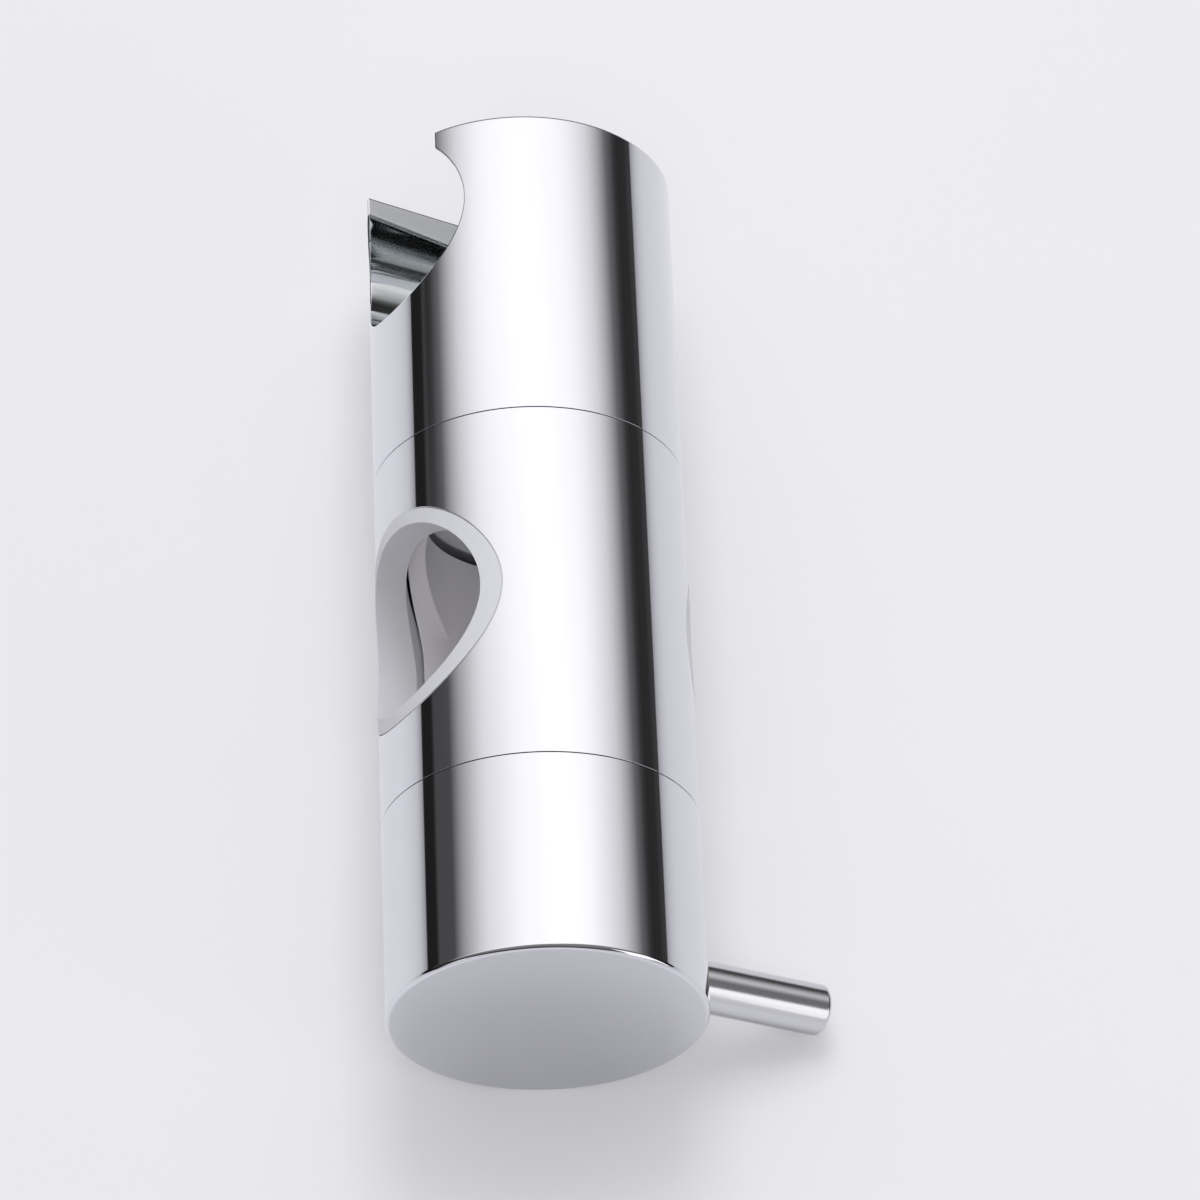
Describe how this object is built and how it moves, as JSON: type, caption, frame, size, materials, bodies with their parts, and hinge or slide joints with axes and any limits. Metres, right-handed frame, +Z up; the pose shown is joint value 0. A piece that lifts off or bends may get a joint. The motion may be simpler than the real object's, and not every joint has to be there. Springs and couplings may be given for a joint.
{
  "type": "shower head holder clamp",
  "caption": "Chromed clamp for a shower rail: a lever knob draws a sliding barrel onto the rail, and a turning holder carries the hand shower in a tapered socket.",
  "frame": {"origin": "centre of the rail bore, on the axis of the cylinder", "axes": "+Z up along the rail bore, the way the rail leaves; +X along the cylinder towards the hand shower holder; -Y is the front"},
  "size_m": [0.1207, 0.04, 0.0592],
  "materials": {
    "chromed_body": "bright chrome plating on moulded plastic",
    "chromed_knob": "bright chrome plating on moulded plastic",
    "chromed_holder": "bright chrome plating on moulded plastic",
    "pale_collar": "satin moulded plastic",
    "pale_barrel": "satin moulded plastic",
    "grey_plug": "satin moulded plastic",
    "bearing_plastic": "turned plastic",
    "polished_steel": "polished round bar",
    "spring_steel": "blued spring steel",
    "zinc_plated_steel": "bright zinc plating",
    "brass": "turned brass",
    "rubber": "moulded rubber"
  },
  "bodies": {
    "body": {"body_shell": "chromed_body", "upper_collar": "pale_collar", "lower_collar": "pale_collar", "end_plug": "grey_plug", "inner_thrust_washer": "bearing_plastic", "outer_thrust_washer": "bearing_plastic", "retaining_ring": "spring_steel", "drag_ring": "rubber", "pivot_washer": "zinc_plated_steel"},
    "barrel": {"clamp_barrel": "pale_barrel", "draw_stud": "brass"},
    "knob": {"drive_sleeve": "brass", "knob_cup": "chromed_knob", "lever": "polished_steel"},
    "holder": {"holder_socket": "chromed_holder", "pivot_insert": "brass", "pivot_screw": "zinc_plated_steel", "disc_spring": "spring_steel", "friction_disc": "bearing_plastic"}
  },
  "joints": [
    {"name": "knob_turn", "type": "hinge", "parent": "body", "child": "knob", "pos_m": [-0.02475, 0, 0], "axis": [1, 0, 0], "range_deg": [0, 270]},
    {"name": "clamp_slide", "type": "slide", "parent": "body", "child": "barrel", "axis": [1, 0, 0], "range_m": [-0.00451, 0]},
    {"name": "holder_tilt", "type": "hinge", "parent": "body", "child": "holder", "pos_m": [0.02475, 0, 0], "axis": [1, 0, 0], "continuous": true}
  ],
  "couplings": [
    {"joint": "clamp_slide", "follows": "knob_turn", "m_per_rad": -0.00095493}
  ]
}
